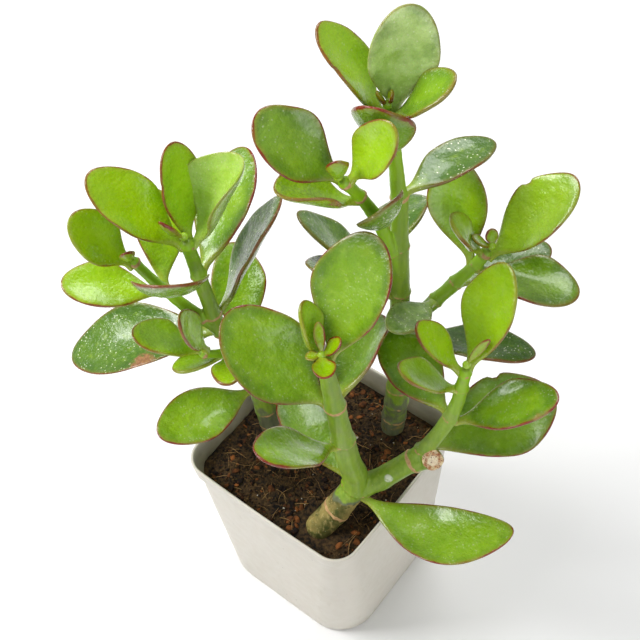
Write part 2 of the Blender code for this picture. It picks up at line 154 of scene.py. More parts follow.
# Stems
SKIN_VOXEL = 0.62      # size of the finer skin's facets, and how often it is smoothed
SKIN_ROUNDS = 14
DEEP_RING = 0.45       # height of a ring scar on the stub, under a leaf, and between leaves
LEAF_RING = 0.4
FAINT_RING = 0.22
RING_APART = 3.0       # rings closer than this are one
RING_PATCH = 8.0       # a ring's direction comes from the skin that is this near
SCARRED_SHARE = 0.3    # share of the rings with a full tan scar; the others have a faint one
FAINT_SCAR = 0.35
RING_STEP = 13.0       # from one old ring to the next on the bare part of a stem
RING_WIDTH = 0.75
SWELLING = 0.3         # how far a stem swells at a ring, and over what length
SWELLING_WIDTH = 3.0
THICKEST = 20.0        # no stem is thicker than this
CUT_BACK = 4.0
STUB_RING = (-6.0, -6.0, -4.5)    # from a point CUT_BACK behind the cut end
STUB_SPOT = (-8.5, -8.5, -8.0)    # from that ring
SPOT_SIDE = (0.4, -0.5, 0.75)     # the side of the stub that the pale spot is on
SPOT_RADIUS = 2.3
GREY_HEIGHT = 48.0     # how far above the soil the left and back stems start to turn grey
GREY_FADE = 44.0
GREY_MOST = 0.6

# Pot and soil
POT_SIDE_STEPS = 16
POT_CORNER_STEPS = 14
TOP_CORNER = 12.0
BASE_CORNER = 22.0
COLLAR_DEPTH = 8.0
COLLAR_STEP = 1.8
WALL = 1.6
FLOOR = 2.4
RIM_BOW = 1.0
CORNER_LIFT = 1.2
BASE_DRAW = 10.0       # how much narrower the base is than the rim
BASE_FLAT = 36.0       # half the side of the flat part of the base, and its corner radius
FLAT_CORNER = 18.0
LIP = 0.8              # radius of the rounded lip
WALL_BOW = 0.8
SOIL_RINGS = 74
SOIL_DEPTH = 10.0
SOIL_RELIEF = ((15, 1.5), (5.5, 1.1), (2.2, 1.0), (0.9, 0.45))  # size and height of its lumps
CHIPS = 520
CRUMBS = 2000
FIBRES = 320
SPECKS = 46
FIBRE_STEP = 0.95      # length of one straight stretch of a fibre
FIBRE_SIDES = 5

# Stage: each light's heading and rise in degrees, distance and size in metres, and power.
LIGHTS = {
    "key": (-145, 48, 1.3, 0.55, 14.0),
    "fill": (-32, 22, 1.5, 0.8, 5.2),
    "top": (110, 58, 1.4, 0.6, 8.0),
}
LIT_POINT = (0, 0, 0.18)
SKY = 0.42
FLOOR_TONE = 0.93
FLOOR_REACH = 3
CAMERA_PLACE = (202.54, -212.53, 574.33)
CAMERA_HEADING = 42.6
CAMERA_RISE = 51.0
CAMERA_ROLL = -5.7
LENS = 58.5
SENSOR = 36.0


# ---------------------------------------------------------------- helpers

def node_points(node):
    """The different points of a CAD node, in millimetres."""
    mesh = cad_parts[node].data
    flat = np.empty(len(mesh.vertices) * 3, np.float32)
    mesh.vertices.foreach_get("co", flat)
    return np.unique(np.round(flat.reshape(-1, 3).astype(float) / MM, 3), axis=0)


def add_piece(name, points, faces, finish, nodes=(), marks=None):
    """A piece of the object, from points in millimetres, with a float attribute for each mark."""
    mesh = bpy.data.meshes.new(name)
    mesh.from_pydata((np.asarray(points) * MM).tolist(), [], faces)
    for mark, values in (marks or {}).items():
        layer = mesh.attributes.new(mark, "FLOAT", "POINT")
        layer.data.foreach_set("value", np.asarray(values, np.float32))
    mesh.shade_smooth()
    mesh.materials.append(finish)
    made = bpy.data.objects.new(name, mesh)
    bpy.context.scene.collection.objects.link(made)
    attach(made, "root")
    if nodes:
        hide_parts(*nodes)
    return made


def smooth_noise(points, size, seed=0.0):
    """Smooth noise from -1 to 1 at each point, with features of a size in millimetres."""
    offset = Vector((seed * 7.3, seed * 3.1, seed * 5.7))
    return np.array([noise.noise(Vector(point) / size + offset) for point in points])


def unit(vector):
    return vector / np.linalg.norm(vector)


def grid_faces(rings, around, first=0):
    """The faces between successive rings of points."""
    faces = []
    for ring in range(rings - 1):
        for i in range(around):
            j = (i + 1) % around
            low, high = first + ring * around, first + (ring + 1) * around
            faces.append((low + i, low + j, high + j, high + i))
    return faces


# ---------------------------------------------------------------- materials

class Shading:
    """Short names for the shader nodes of one material."""

    def __init__(self, name):
        self.material = bpy.data.materials.new(name)
        self.material.use_nodes = True
        self.tree = self.material.node_tree
        self.shader = self.tree.nodes["Principled BSDF"]
        self.place = self.add("TexCoord").outputs["Object"]

    def add(self, kind, inputs=None, **settings):
        node = self.tree.nodes.new("ShaderNode" + kind)
        for key, value in settings.items():
            setattr(node, key, value)
        for socket, value in (inputs or {}).items():
            self.put(node.inputs[socket], value)
        return node

    def put(self, socket, value):
        if isinstance(value, bpy.types.NodeSocket):
            self.tree.links.new(value, socket)
        else:
            socket.default_value = value

    def mark(self, name):
        return self.add("Attribute", attribute_name=name).outputs["Fac"]

    def mix(self, share, first, second, blend="MIX"):
        node = self.add("Mix", {0: share, 6: first, 7: second}, data_type="RGBA", blend_type=blend)
        return node.outputs[2]

    def maths(self, operation, first, second=0.0):
        return self.add("Math", {0: first, 1: second}, operation=operation).outputs[0]

    def between(self, value, low, high, start=0.0, end=1.0):
        """A smooth step from start to end as the value goes from low to high."""
        node = self.add("MapRange", {"Value": value, "From Min": low, "From Max": high,
                                     "To Min": start, "To Max": end}, interpolation_type="SMOOTHSTEP")
        return node.outputs["Result"]

    def grain(self, size, detail=3.0, stretch=(1, 1, 1)):
        """Noise from 0 to 1 with features of a size in millimetres."""
        place = self.place
        if stretch != (1, 1, 1):
            place = self.add("Mapping", {"Vector": place, "Scale": stretch}).outputs["Vector"]
        node = self.add("TexNoise", {"Vector": place, "Scale": 1 / (size * MM), "Detail": detail})
        return node.outputs["Fac"]

    def vary(self, size, detail, start, end):
        """Noise with features of a size in millimetres, that runs from start to end."""
        return self.between(self.grain(size, detail), 0.3, 0.7, start, end)

    def mottle(self, share, name):
        """A colour of the palette that turns to its light one as the share rises."""
        return self.mix(share, rgb(name), rgb(name + " light"))

    def times(self, first, second):
        return self.maths("MULTIPLY", first, second)

    def cells(self, size):
        """Distance to the nearest of the scattered points that are about a size apart."""
        node = self.add("TexVoronoi", {"Vector": self.place, "Scale": 1 / (size * MM)})
        return node.outputs["Distance"]

    def bump(self, height, depth, strength=1.0, under=None):
        inputs = {"Height": height, "Distance": depth * MM, "Strength": strength}
        if under is not None:
            inputs["Normal"] = under
        return self.add("Bump", inputs).outputs["Normal"]

    def finish(self, colour, roughness, normal=None, **constants):
        self.put(self.shader.inputs["Base Color"], colour)
        self.put(self.shader.inputs["Roughness"], roughness)
        if normal is not None:
            self.put(self.shader.inputs["Normal"], normal)
        for socket, value in constants.items():
            self.shader.inputs[socket.replace("_", " ")].default_value = value
        return self.material


def rgb(name):
    """A colour of the palette as a linear one."""
    return (*((value / 255) ** 2.2 for value in PALETTE[name]), 1.0)


def leaf_skin():
    s = Shading("leaf_skin")
    age, margin, side, along = (s.mark(name) for name in ("age", "margin", "side", "along"))
    red, dots, bloom_and_sheen = (s.mark(name) for name in ("red", "dots", "bloom_and_sheen"))
    patches = s.grain(13, 2)
    colour = s.mix(s.between(age, 0.0, 0.5), s.mottle(patches, "young"), s.mottle(patches, "grown"))
    colour = s.mix(s.between(age, 0.5, 1.0), colour, s.mottle(patches, "old"))
    colour = s.mix(s.between(s.grain(3.5, 4), 0.5, 0.8, 0, 0.3), colour, rgb("leaf fleck"))
    # Painted shade: the colour darkens towards the margin, more on older leaves, to give each leaf volume.
    inward = s.maths("ADD", margin, s.vary(9, 2, -2.0, 2.0))
    shaded = s.times(s.between(inward, 8.0, 0.5, 0, 0.6), s.between(age, 0.1, 0.6, 0.25, 1.0))
    colour = s.mix(shaded, colour, rgb("leaf edge shade"))
    colour = s.mix(s.between(along, 0.02, 0.22, 0.75, 0.0), colour, rgb("leaf foot"))
    colour = s.mix(s.between(side, -0.1, -0.7, 0, 0.45), colour, rgb("underside"))
    # Waxy bloom. On the sheen leaves it is turned up into a painted sheen, a pale patchy wash that stands
    # in for the reflection of the lights.
    haze = s.times(s.vary(7, 5, 0.35, 1.0), bloom_and_sheen)
    colour = s.mix(s.times(haze, 0.85), colour, rgb("bloom_and_sheen"))
    dotted = s.times(s.between(s.cells(1.7), 0.23, 0.17), s.between(s.grain(7, 1), 0.45, 0.55))
    colour = s.mix(s.times(dotted, dots), colour, rgb("leaf dot"))
    ragged = s.maths("ADD", margin, s.vary(6.0, 3, 0.3, -0.25))
    colour = s.mix(s.times(s.between(ragged, 2.6, 0.4, 0, 0.5), red), colour, rgb("warm edge"))
    some_way = s.between(s.grain(17, 1), 0.38, 0.54, 0.4, 1.25)
    line = s.times(s.between(ragged, 0.8, 0.4), s.times(red, some_way))
    line = s.times(line, s.between(along, 0.10, 0.32))
    colour = s.mix(line, colour, s.mottle(s.grain(2.0, 2), "red"))
    scab = s.between(s.times(s.mark("scab"), s.grain(2.2, 4)), 0.16, 0.34)
    colour = s.mix(scab, colour, s.mottle(s.grain(1.4, 4), "scab"))
    pits = s.bump(s.grain(1.5, 3), 0.5, 0.7)
    skin = s.bump(s.grain(6.5, 3), 1.8, 0.55, pits)
    s.shader.inputs["Subsurface Radius"].default_value = (0.5, 1.0, 0.12)
    return s.finish(colour, s.vary(2.4, 4, 0.2, 0.34), skin, Subsurface_Weight=0.1,
                    Subsurface_Scale=2.5 * MM, IOR=1.46, Coat_Weight=0.5, Coat_Roughness=0.14)


def stem_bark():
    s = Shading("stem_bark")
    bark, ring, cut, girth = (s.mark(name) for name in ("bark", "ring", "cut", "girth"))
    streaks = s.grain(1.6, 5, (1, 1, 0.12))
    broad = s.grain(9, 3)
    green = s.mix(s.between(girth, 2.4, 3.8), rgb("thin stem"), s.mottle(streaks, "stem"))
    green = s.mix(s.between(broad, 0.5, 0.75, 0, 0.4), green, rgb("stem cloud"))
    woody = s.mottle(s.between(broad, 0.35, 0.65), "wood")
    woody = s.mix(s.between(streaks, 0.5, 0.75, 0, 0.8), woody, rgb("wood streak"))
    woody = s.mix(s.between(s.grain(4, 4), 0.56, 0.66, 0, 0.8), woody, rgb("moss"))
    patchy = s.maths("ADD", bark, s.vary(5, 3, -0.2, 0.2))
    colour = s.mix(s.between(patchy, 0.1, 0.5), green, s.mottle(streaks, "greyed"))
    colour = s.mix(s.between(patchy, 0.55, 0.85), colour, woody)
    colour = s.mix(s.between(s.cells(2.2), 0.12, 0.06, 0, 0.6), colour, rgb("stem dot"))
    scar = s.between(s.maths("ADD", ring, s.vary(2.5, 3, -0.2, 0.2)), 0.2, 0.45)
    colour = s.mix(scar, colour, s.mottle(s.grain(1.5, 3), "scar"))
    face = s.mottle(s.between(s.grain(1.8, 4), 0.35, 0.65), "cut")
    face = s.mix(s.between(s.mark("core"), 0.3, 0.7, 0.0, 0.75), face, rgb("cut core"))
    face = s.mix(s.between(s.grain(0.9, 4), 0.56, 0.66), face, rgb("cut red"))
    colour = s.mix(s.between(cut, 0.35, 0.65), colour, face)
    dusty = s.times(s.between(s.mark("spot"), 0.2, 0.8), s.between(s.grain(2, 4), 0.2, 0.5))
    colour = s.mix(dusty, colour, rgb("dust"))
    ridges = s.bump(streaks, 0.35, 0.5)
    rough = s.bump(s.grain(1.1, 5), 0.35, s.between(bark, 0.0, 1.0, 0.15, 0.8), ridges)
    return s.finish(colour, s.between(bark, 0.0, 1.0, 0.42, 0.8), rough, Subsurface_Weight=0.05,
                    Subsurface_Scale=2.0 * MM)


def pot_plastic():
    s = Shading("pot_plastic")
    inside, height = s.mark("inside"), s.mark("height")
    colour = s.mottle(s.grain(34, 3), "pot")
    scuffs = s.between(s.grain(3.0, 5, (1, 1, 0.25)), 0.62, 0.72, 0, 0.25)
    colour = s.mix(scuffs, colour, rgb("scuff"))
    foot = s.times(s.between(height, 9.0, 0.0), s.between(s.grain(6, 4), 0.4, 0.65))
    colour = s.mix(s.times(foot, 0.5), colour, rgb("pot foot"))
    # Painted shade: the inside wall turns a darker brownish grey the deeper it goes into the pot.
    colour = s.mix(inside, colour, s.mottle(s.grain(7, 4), "inner shade"))
    specks = s.times(s.between(s.cells(6.5), 0.07, 0.04, 0, 0.7), s.between(s.grain(20, 1), 0.5, 0.6))
    colour = s.mix(specks, colour, rgb("pot speck"))
    grainy = s.bump(s.grain(0.8, 2), 0.05, 0.4)
    return s.finish(colour, s.vary(5, 4, 0.34, 0.5), grainy, Subsurface_Weight=0.04,
                    Subsurface_Scale=1.5 * MM)


def soil_mix(name, colours, grain_size=1.6):
    """The potting mix, or its chips, fibres or grit: each bit's tone runs from dark to light."""
    s = Shading(name)
    colour = s.mottle(s.maths("ADD", s.mark("tone"), s.vary(grain_size, 4, -0.25, 0.25)), colours)
    colour = s.mix(s.between(s.grain(0.7, 3), 0.6, 0.75, 0, 0.5), colour, rgb("soil dark"))
    crumbly = s.bump(s.grain(0.9, 5), 0.5, 0.8)
    return s.finish(colour, 0.86, crumbly, Specular_IOR_Level=0.3)


LEAF = leaf_skin()
STEM = stem_bark()
POT = pot_plastic()
SOIL = soil_mix("soil_mix", "soil")
CHIP = soil_mix("soil_chip", "chip", 2.5)
FIBRE = soil_mix("soil_fibre", "fibre", 4.0)
SPECK = soil_mix("soil_speck", "speck", 1.0)


# ---------------------------------------------------------------- leaves

def basis(a, c):
    """The terms of a leaf's middle surface, at shares a of its length and c of its half width."""
    return np.stack([a * (1 - a), a * (1 - a) * (2 * a - 1), c * c, c * c * a, c * a], axis=-1)


def leaf_plan(node, stem):
    """A CAD leaf's foot, directions, length, half width and the curve of its middle."""
    points = node_points(node)
    centre = points.mean(0)
    _, _, axes = np.linalg.svd(points - centre, full_matrices=False)
    reach = (points - centre) @ axes[0]
    ends = [points[reach.argmin()], points[reach.argmax()]]
    gaps = [stem.find_nearest(Vector(end))[3] for end in ends]
    foot, tip = ends if gaps[0] < gaps[1] else reversed(ends)
    length = np.linalg.norm(tip - foot)
    along = (tip - foot) / length
    across = unit(axes[1] - along * (axes[1] @ along))
    up = np.cross(along, across)
    if up[2] < 0:
        across, up = -across, -up
    local = points - foot
    share = local @ along / length
    arch = share * (1 - share)
    bow = (arch @ (local @ across)) / (arch @ arch)
    aside = local @ across - bow * arch
    half = np.abs(aside).max() * 1.02
    curve, *_ = np.linalg.lstsq(basis(share, aside / half), local @ up, rcond=None)
    return {"foot": foot, "along": along, "across": across, "up": up, "length": length, "half": half,
            "curve": curve, "bow": bow}


def tiny_plan(foot, length, width, quarter, rise, twist):
    """The same for a tiny leaf, from its sizes and angles."""
    h, r, t = math.radians(QUARTERS[quarter]), math.radians(rise), math.radians(twist)
    along = np.array((math.cos(h) * math.cos(r), math.sin(h) * math.cos(r), math.sin(r)))
    level = np.array((-math.sin(h), math.cos(h), 0))
    across = level * math.cos(t) + np.cross(along, level) * math.sin(t)
    half = width / 2
    return {"foot": foot, "along": along, "across": across, "up": np.cross(along, across),
            "length": length, "half": half, "bow": 0.0,
            "curve": np.array((-TINY_ARCH * length, 0, TINY_CUP * half, 0, 0))}


def leaf_body(plan, thickness, foot_half, seed, look, notched=False, scab=NO_SCAB):
    """Points, faces and marks of a thick leaf with a rounded margin that wavers a little.

    A ring of points runs round the leaf at each share of its length. The marks are the distance
    from the margin in millimetres, the side (1 on top, -1 underneath), the share along the leaf,
    the strength of its scab, and its look.
    """
    share = (1 - np.cos(np.linspace(0, math.pi, LEAF_RINGS))) / 2
    share = share[:-1]
    length = plan["length"]
    swell = np.sin(np.pi * share ** WIDEST) ** (OUTLINE_FOOT - OUTLINE_BLUNTS * share)
    narrow = (1 - share) ** FOOT_TAPER * foot_half
    turns = np.arange(LEAF_AROUND) / LEAF_AROUND * 2 * math.pi
    waver = [np.array([noise.noise(Vector((s * 2.6, side * 9.0, seed * 3.7))) for s in share])
             for side in (0, 1)]
    halves = [(narrow ** 3 + (plan["half"] * swell * (1 + OUTLINE_WAVER * w)) ** 3) ** (1 / 3)
              for w in waver]
    if notched:
        place, width, depth = NOTCH
        halves[0] = halves[0] * (1 - depth * np.exp(-((share - place) / width) ** 2))
    cup = CUP + CUP_VARIES * noise.noise(Vector((seed * 5.1, 2.0, 0.5)))
    sickle = plan["bow"] / 4 + SICKLE * plan["half"] * noise.noise(Vector((0.3, seed * 4.3, 1.7)))
    thick = thickness / 2 * (1 - share ** TIP_ROUNDING) ** 0.5
    thick = thick * (1 - FOOT_THINNER + FOOT_THINNER * np.sin(np.pi * share))
    rows, marks = [], {"side": [], "along": []}
    for k, s in enumerate(share):
        half = np.where(np.cos(turns) > 0, halves[0][k], halves[1][k])
        x = half * np.cos(turns)
        z = thick[k] * np.sign(np.sin(turns)) * np.abs(np.sin(turns)) ** EDGE_ROUNDING
        wide = x / plan["half"]
        middle = basis(np.full(LEAF_AROUND, s), wide) @ plan["curve"]
        middle = middle + cup * plan["half"] * (wide ** 2 - 0.35) * math.sin(math.pi * s ** 0.7)
        ripple = np.array([noise.noise(Vector((s * length / RIPPLE_LONG, a / RIPPLE_WIDE, seed)))
                           for a in x])
        middle = middle + RIPPLE * ripple * math.sin(math.pi * min(1, s * 1.1)) * min(1, length / 30)
        x = x + sickle * 4 * s * (1 - s)
        reach = s * length - LEAF_ROOT * (1 - s) ** 12 * min(1, foot_half / LEAF_FOOT)
        rows.append(plan["foot"] + np.outer(np.full(LEAF_AROUND, reach), plan["along"])
                    + np.outer(x, plan["across"]) + np.outer(middle + z, plan["up"]))
        marks["side"].append(np.sin(turns))
        marks["along"].append(np.full(LEAF_AROUND, s))
    points = np.concatenate(rows)
    drift = sickle * 4 * share * (1 - share)
    sides = [np.concatenate([np.stack([share * length, drift + sign * half], 1), [[length, 0.0]]])
             for sign, half in ((1, halves[0]), (-1, halves[1]))]
    fine = np.concatenate([side[:-1] + (side[1:] - side[:-1]) * t for side in sides
                           for t in (0, 0.2, 0.4, 0.6, 0.8)])
    flat = np.stack([np.repeat(share * length, LEAF_AROUND), (points - plan["foot"]) @ plan["across"]], 1)
    margin = np.sqrt(((flat[:, None] - fine[None]) ** 2).sum(2)).min(1)
    tip = plan["foot"] + plan["along"] * length
    base = rows[0].mean(0)
    points = np.concatenate([points, [tip, base]])
    count = len(share)
    faces = grid_faces(count, LEAF_AROUND)
    last = (count - 1) * LEAF_AROUND
    for i in range(LEAF_AROUND):
        j = (i + 1) % LEAF_AROUND
        faces.append((last + i, last + j, count * LEAF_AROUND))
        faces.append((j, i, count * LEAF_AROUND + 1))
    total = len(points)
    age, dots, red, bloom_and_sheen = look
    toward = 1 if plan["across"][0] > plan["across"][1] else -1
    patch = np.stack([flat[:, 0] / length - scab[0],
                      (flat[:, 1] * toward - 0.8 * plan["half"]) / length], 1)
    scabbed = scab[2] * np.exp(-(np.linalg.norm(patch, axis=1) / scab[1]) ** 2)
    marks = {
        "scab": np.concatenate([scabbed, [0, 0]]),
        "side": np.concatenate([*marks["side"], [0, 0]]),
        "along": np.concatenate([*marks["along"], [1, 0]]),
        "margin": np.concatenate([margin, [0, 5]]),
        "age": np.full(total, age),
        "dots": np.full(total, dots),
        "red": np.full(total, red),
        "bloom_and_sheen": np.full(total, bloom_and_sheen),
    }
    return points, faces, marks


def look_of(node):
    """A leaf's age, dots, red margin and bloom with its painted sheen, a little different on each leaf."""
    kind = "ripe" if node in RIPE else "grown" if node in GROWN else "old" if node in OLD else "young"
    age, dots, red, bloom_and_sheen = (min(1.0, max(0.0, value + DICE.uniform(-LOOK_VARIES, LOOK_VARIES)))
                             for value in LOOKS[kind])
    return age, dots, red * (0.4 if node in PAINTED_SHEEN else 1.0), PAINTED_SHEEN.get(node, bloom_and_sheen)


def make_leaf(node, stem, number):
    """A leaf's skin over its CAD solid. Gives back where the leaf grows."""
    plan = leaf_plan(node, stem)
    foot_half = min(LEAF_FOOT, plan["half"] * FOOT_SHARE)
    points, faces, marks = leaf_body(plan, LEAF_THICKNESS, foot_half, number * 1.7, look_of(node),
                                     node in NOTCHED, SCABS.get(node, NO_SCAB))
    add_piece(node + "_skin", points, faces, LEAF, (node,), marks)
    return plan


def make_tip(node, stem, number):
    """A growing tip: tiny leaves round a small heart that sits on the shoot's end."""
    points = node_points(node)
    gaps = [stem.find_nearest(Vector(point))[3] for point in points]
    low = points[int(np.argmin(gaps))]
    near = np.array(stem.find_nearest(Vector(low))[0])
    heart = low + unit(low - near) * HEART
    ball = bmesh.new()
    bmesh.ops.create_icosphere(ball, subdivisions=3, radius=HEART)
    all_points = [np.array([vert.co for vert in ball.verts]) + heart]
    all_faces = [tuple(vert.index for vert in face.verts) for face in ball.faces]
    ball.free()
    count = len(all_points[0])
    heart_marks = {"side": 1.0, "along": 0.1, "margin": 5.0, "age": 0.1}
    all_marks = {mark: [np.full(count, heart_marks.get(mark, 0.0))]
                 for mark in ("side", "along", "margin", "age", "dots", "red", "bloom_and_sheen", "scab")}
    for n, (length, width, quarter, rise, twist) in enumerate(TIPS[node]):
        plan = tiny_plan(heart, length, width, quarter, rise, twist)
        body, faces, marks = leaf_body(plan, TINY_THICKNESS, TINY_FOOT, number + n * 2.3, TINY_LOOK)
        all_faces += [tuple(i + count for i in face) for face in faces]
        all_points.append(body)
        count += len(body)
        for mark in all_marks:
            all_marks[mark].append(marks[mark])
    marks = {mark: np.concatenate(values) for mark, values in all_marks.items()}
    add_piece(node + "_leaves", np.concatenate(all_points), all_faces, LEAF, (node,), marks)


# ---------------------------------------------------------------- stems

def refined(node, voxel, rounds):
    """A finer and smoother skin of a CAD node: points, faces and normals, in millimetres."""
    shape = bmesh.new()
    shape.from_mesh(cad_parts[node].data)
    bmesh.ops.remove_doubles(shape, verts=shape.verts, dist=0.001 * MM)
    mesh = bpy.data.meshes.new("coarse")
    shape.to_mesh(mesh)
    shape.free()
    holder = bpy.data.objects.new("coarse", mesh)
    bpy.context.scene.collection.objects.link(holder)
    remesh = holder.modifiers.new("remesh", "REMESH")
    remesh.mode = "VOXEL"
    remesh.voxel_size = voxel * MM
    smooth = holder.modifiers.new("smooth", "SMOOTH")
    smooth.factor = 0.5
    smooth.iterations = rounds
    bpy.context.view_layer.update()
    fine = bpy.data.meshes.new_from_object(holder.evaluated_get(bpy.context.evaluated_depsgraph_get()))
    points = np.array([vert.co for vert in fine.vertices]) / MM
    normals = np.array([vert.normal for vert in fine.vertices])
    faces = [tuple(face.vertices) for face in fine.polygons]
    bpy.data.objects.remove(holder)
    bpy.data.meshes.remove(fine)
    bpy.data.meshes.remove(mesh)
    return points, faces, normals


def stem_tree(node):
    """A search tree of a CAD stem's faces, in millimetres."""
    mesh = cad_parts[node].data
    return BVHTree.FromPolygons([vert.co / MM for vert in mesh.vertices],
                                [tuple(face.vertices) for face in mesh.polygons])


def cut_face(node, above):
    """The centre, direction and radius of a stem's cut end: its largest flat end above a height."""
    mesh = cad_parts[node].data
    groups = {}
    for face in mesh.polygons:
        if face.center.z / MM > above:
            key = tuple(round(x, 2) for x in face.normal) + (round(face.normal.dot(face.center) / MM, 1),)
            groups.setdefault(key, []).append(face)
    caps = [group for group in groups.values() if len(group) >= 7]
    if not caps:
        return None
    cap = max(caps, key=lambda group: sum(face.area for face in group))
    area = sum(face.area for face in cap)
    centre = sum((face.center * face.area for face in cap), Vector()) / area
    return np.array(centre) / MM, np.array(cap[0].normal), math.sqrt(area / math.pi) / MM


def make_stem(plant, feet, soil_top):
    """A stem with its side shoots: ring scars where leaves grow, bark low down and a cut end."""
    points, faces, normals = refined(f"{plant}_stem", SKIN_VOXEL, SKIN_ROUNDS)
    tree = BVHTree.FromPolygons([Vector(point) for point in points], faces)
    middles = points.copy()
    girth = np.full(len(points), 3.0)
    for i, (point, normal) in enumerate(zip(points, normals)):
        hit = tree.ray_cast(Vector(point - normal * 0.1), Vector(-normal), THICKEST)
        if hit[0] is not None:
            middles[i] = (point + np.array(hit[0])) / 2
            girth[i] = hit[3] / 2
    rings = []

    def add_ring(centre, depth=LEAF_RING):
        """Notes a ring round the stem there, unless one is close by."""
        close = np.linalg.norm(points - centre, axis=1) < RING_PATCH
        _, directions = np.linalg.eigh(np.cov(normals[close].T))
        if all(np.linalg.norm(centre - other[0]) > RING_APART for other in rings):
            scarred = 1.0 if depth == DEEP_RING or DICE.random() < SCARRED_SHARE else FAINT_SCAR
            rings.append((centre, directions[:, 0], depth, scarred))

    for foot in feet:
        nearest = np.linalg.norm(points - foot, axis=1).argmin()
        close = np.linalg.norm(points - points[nearest], axis=1) < 2.5
        add_ring(middles[close].mean(0))
    root = points[points[:, 2] < points[:, 2].min() + 2.0].mean(0)
    bare_top = min(foot[2] for foot in feet) - 8.0
    height = soil_top + 10.0
    while height < bare_top:
        aside = np.linalg.norm(points[:, :2] - root[:2], axis=1)
        level = (np.abs(points[:, 2] - height) < 0.8) & (aside < THICKEST)
        add_ring(middles[level].mean(0), FAINT_RING)
        height += RING_STEP
    cut = cut_face(f"{plant}_stem", soil_top) if plant == "front" else None
    spot = np.zeros(len(points))
    cut_mark = np.zeros(len(points))
    if cut:
        centre, direction, radius = cut
        add_ring(centre - direction * CUT_BACK + np.array(STUB_RING), DEEP_RING)
        depth = (points - centre) @ direction
        flat = np.linalg.norm(points - centre - np.outer(depth, direction), axis=1)
        cut_mark = ((depth > -0.7) & (flat < radius * 1.1)).astype(float)
    ring_mark = np.zeros(len(points))
    for middle, axis, depth, scarred in rings:
        step = (points - middle) @ axis
        out = np.linalg.norm(points - middle - np.outer(step, axis), axis=1)
        near = np.linalg.norm(points - middle, axis=1)
        reach = np.median(girth[near < 9.0]) * 1.9
        wavy = step + 0.5 * smooth_noise(points, 5.0, 3.0)
        shape = np.exp(-(wavy / RING_WIDTH) ** 2) * (out < reach)
        swelling = np.exp(-(step / SWELLING_WIDTH) ** 2) * (out < reach)
        points = points + normals * (depth * shape + SWELLING * swelling)[:, None]
        ring_mark = np.maximum(ring_mark, shape * scarred)
    if cut:
        rough = smooth_noise(points, 1.3, 1.0) * 0.5 - 0.9 * np.exp(-(flat / 2.0) ** 2)
        points = points + direction * (cut_mark * rough)[:, None]
        rim = np.exp(-((flat - radius * 0.85) / 0.8) ** 2) * cut_mark
        points = points + direction * (0.35 * rim)[:, None]
        seat = rings[-1][0] + np.array(STUB_SPOT)
        toward = np.array(SPOT_SIDE)
        hit = tree.ray_cast(Vector(seat + toward * THICKEST), Vector(-toward))
        if hit[0] is not None:
            spot = np.exp(-(np.linalg.norm(points - np.array(hit[0]), axis=1) / SPOT_RADIUS) ** 4)
    lump = smooth_noise(points, 9.0, 2.0) * 0.35 + smooth_noise(points, 2.4, 5.0) * 0.12
    points = points + normals * lump[:, None]
    fork = min(foot[2] for foot in feet)
    if plant == "front":
        bark = np.clip((fork + 1.0 - points[:, 2] + 2.0 * smooth_noise(points, 6.0)) / 4.0, 0, 1)
    else:
        bark = np.clip((soil_top + GREY_HEIGHT - points[:, 2]) / GREY_FADE, 0, 1) * GREY_MOST
    core = np.exp(-(flat / radius / 0.55) ** 4) * cut_mark if cut else cut_mark
    marks = {"core": core, "ring": ring_mark, "cut": cut_mark, "bark": bark, "girth": girth, "spot": spot}
    add_piece(f"{plant}_stem_skin", points, faces, STEM, (f"{plant}_stem",), marks)


# ---------------------------------------------------------------- pot and soil

def square_ring(half, corner, bow, height, lift=0.0):
    """Points of a rounded square, anticlockwise from above, whose sides bow out and corners lift."""
    points = []
    straight = half - corner
    for side in range(4):
        turn = np.array(Matrix.Rotation(side * math.pi / 2, 3, "Z"))
        for step in range(POT_SIDE_STEPS):
            along = -straight + 2 * straight * step / POT_SIDE_STEPS
            out = half + bow * (1 - (along / half) ** 2)
            points.append(turn @ np.array((along, -out, height)))
        for step in range(POT_CORNER_STEPS):
            share = step / POT_CORNER_STEPS
            angle = -math.pi / 2 + math.pi / 2 * share
            raised = lift * math.sin(math.pi * share) ** 2
            edge = bow * (1 - (straight / half) ** 2) * (1 - math.sin(math.pi * share))
            reach = np.array((math.cos(angle), math.sin(angle), 0)) * (corner + edge)
            points.append(turn @ (np.array((straight, -straight, height + raised)) + reach))
    return points


POT_TOP_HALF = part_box("pot")[1].x / MM - RIM_BOW
POT_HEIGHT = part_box("pot")[1].z / MM
SOIL_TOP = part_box("soil")[1].z / MM
COLLAR = POT_HEIGHT - COLLAR_DEPTH
BASE_HALF = POT_TOP_HALF - BASE_DRAW / 2


def wall_half(height, inset=0.0):
    """Half the side of the pot below its collar, at a height."""
    return BASE_HALF + (POT_TOP_HALF - COLLAR_STEP - BASE_HALF) * height / COLLAR - inset


def wall_corner(height, inset=0.0):
    return BASE_CORNER + (TOP_CORNER - BASE_CORNER) * height / POT_HEIGHT - inset


